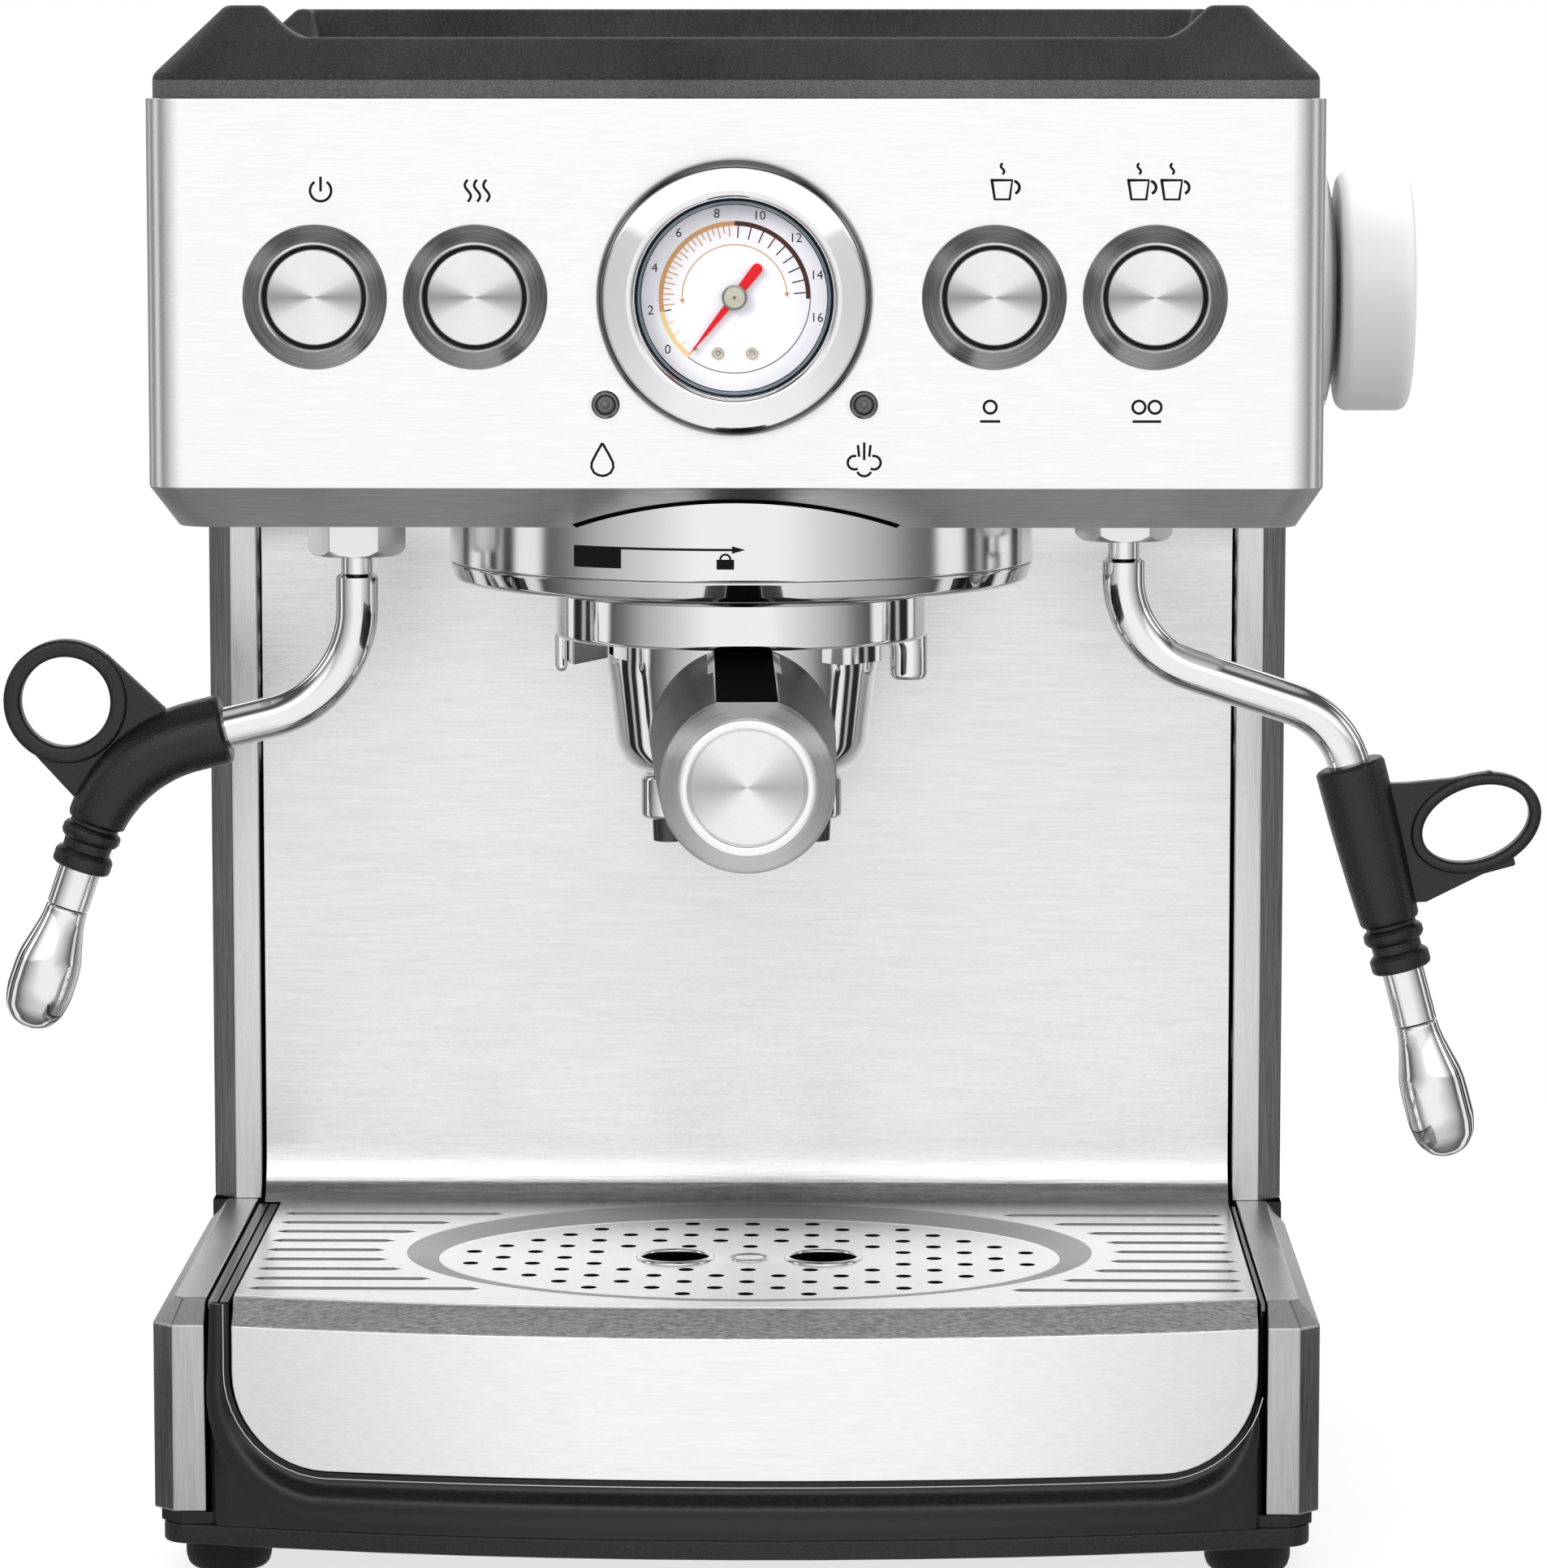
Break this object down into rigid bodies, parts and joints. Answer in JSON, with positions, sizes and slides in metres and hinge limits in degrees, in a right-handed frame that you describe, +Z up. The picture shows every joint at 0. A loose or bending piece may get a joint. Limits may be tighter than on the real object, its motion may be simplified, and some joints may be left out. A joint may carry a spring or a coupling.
{
  "type": "espresso machine",
  "caption": "Pump espresso machine with a bayonet group and portafilter, two swivelling wands with finger rings, push buttons, pressure gauge, side knob, drip tray and rear water tank.",
  "frame": {"origin": "middle of the whole outline in plan, on the surface the feet stand on", "axes": "+X to the right as seen from the front, +Y from the front to the rear, +Z up"},
  "size_m": [0.381, 0.3784, 0.3806],
  "materials": {
    "satin_black": "satin black moulding",
    "gloss_black": "glossy black moulding",
    "brushed_steel": "fine brushed",
    "dark_steel": "dark brushed",
    "chrome": "polished",
    "rubber": "matte",
    "gasket": "matte",
    "dial_white": "matte white paint",
    "needle_red": "satin red paint",
    "glass": "clear",
    "lamp_grey": "grey lens",
    "brass": "turned",
    "board_green": "printed board",
    "tank_smoke": "smoke tinted"
  },
  "bodies": {
    "base": {"back_splash": "brushed_steel", "base_frame": "gloss_black", "base_pan": "satin_black", "base_trim_left": "brushed_steel", "base_trim_right": "brushed_steel", "brew_boiler": "brass", "button_ring_one_cup": "dark_steel", "button_ring_power": "dark_steel", "button_ring_steam": "dark_steel", "button_ring_two_cup": "dark_steel", "column_side_left": "brushed_steel", "column_side_right": "brushed_steel", "control_board": "board_green", "cup_plate": "brushed_steel", "foot_front_left": "rubber", "foot_front_right": "rubber", "foot_rear_left": "rubber", "foot_rear_right": "rubber", "gauge_bezel": "chrome", "gauge_case": "satin_black", "gauge_dial": "dial_white", "gauge_lens": "glass", "group_collar": "chrome", "group_gasket": "gasket", "head_shell": "brushed_steel", "knob_plate": "chrome", "lamp_heat": "lamp_grey", "lamp_steam": "lamp_grey", "lock_ring": "chrome", "rear_cover": "satin_black", "shower_screen": "chrome", "steam_valve": "brass", "top_cover": "satin_black", "wand_nut_left": "chrome", "wand_nut_right": "chrome", "water_pump": "satin_black"},
    "cap_power": {"button_cap_power": "brushed_steel"},
    "cap_steam": {"button_cap_steam": "brushed_steel"},
    "cap_one_cup": {"button_cap_one_cup": "brushed_steel"},
    "cap_two_cup": {"button_cap_two_cup": "brushed_steel"},
    "knob": {"steam_knob": "brushed_steel"},
    "needle": {"gauge_needle": "needle_red"},
    "swivel_left": {"ball_seat_left": "gasket"},
    "wand_left": {"wand_tube_left": "chrome", "wand_grip_left": "satin_black", "wand_nozzle_left": "chrome"},
    "swivel_right": {"ball_seat_right": "gasket"},
    "wand_right": {"wand_tube_right": "chrome", "wand_grip_right": "satin_black", "wand_nozzle_right": "chrome"},
    "portafilter": {"portafilter_body": "chrome", "filter_basket": "chrome", "portafilter_spout": "chrome", "portafilter_handle": "satin_black", "handle_cap": "brushed_steel"},
    "tray": {"drip_tray": "satin_black", "tray_front": "brushed_steel"},
    "plate": {"tray_plate": "brushed_steel"},
    "tank": {"water_tank": "tank_smoke"},
    "lid": {"tank_lid": "satin_black"}
  },
  "joints": [
    {"name": "press_power", "type": "slide", "parent": "base", "child": "cap_power", "axis": [0, 1, 0], "range_m": [0, 0.002], "stiffness_N_per_m": 500},
    {"name": "press_steam", "type": "slide", "parent": "base", "child": "cap_steam", "axis": [0, 1, 0], "range_m": [0, 0.002], "stiffness_N_per_m": 500},
    {"name": "press_one_cup", "type": "slide", "parent": "base", "child": "cap_one_cup", "axis": [0, 1, 0], "range_m": [0, 0.002], "stiffness_N_per_m": 500},
    {"name": "press_two_cup", "type": "slide", "parent": "base", "child": "cap_two_cup", "axis": [0, 1, 0], "range_m": [0, 0.002], "stiffness_N_per_m": 500},
    {"name": "turn_knob", "type": "hinge", "parent": "base", "child": "knob", "pos_m": [0.13233, -0.04578, 0.3105], "axis": [1, 0, 0], "range_deg": [-90, 90]},
    {"name": "swing_needle", "type": "hinge", "parent": "base", "child": "needle", "pos_m": [-0.00767, -0.12578, 0.3119], "axis": [0, 1, 0], "range_deg": [0, 232], "stiffness_Nm_per_rad": 0.0004},
    {"name": "swivel_wand_left", "type": "hinge", "parent": "base", "child": "swivel_left", "pos_m": [-0.10227, -0.06578, 0.25278], "axis": [0, 0, 1], "range_deg": [-35, 95]},
    {"name": "tilt_wand_left", "type": "hinge", "parent": "swivel_left", "child": "wand_left", "pos_m": [-0.10227, -0.06578, 0.25278], "axis": [0, 1, 0], "range_deg": [-12, 12]},
    {"name": "swivel_wand_right", "type": "hinge", "parent": "base", "child": "swivel_right", "pos_m": [0.08693, -0.06578, 0.25678], "axis": [0, 0, 1], "range_deg": [-95, 35]},
    {"name": "tilt_wand_right", "type": "hinge", "parent": "swivel_right", "child": "wand_right", "pos_m": [0.08693, -0.06578, 0.25678], "axis": [0, 1, 0], "range_deg": [-12, 12]},
    {"name": "lock_portafilter", "type": "hinge", "parent": "base", "child": "portafilter", "pos_m": [-0.00767, -0.04678, 0.218], "axis": [0, 0, 1], "range_deg": [-46.7, 0]},
    {"name": "pull_tray", "type": "slide", "parent": "base", "child": "tray", "axis": [0, -1, 0], "range_m": [0, 0.16]},
    {"name": "lift_plate", "type": "slide", "parent": "tray", "child": "plate", "axis": [0, 0, 1], "range_m": [0, 0.06]},
    {"name": "lift_tank", "type": "slide", "parent": "base", "child": "tank", "axis": [0, 0, 1], "range_m": [0, 0.12]},
    {"name": "open_lid", "type": "hinge", "parent": "tank", "child": "lid", "pos_m": [-0.00767, 0.18672, 0.3427], "axis": [1, 0, 0], "range_deg": [-100, 0]}
  ]
}
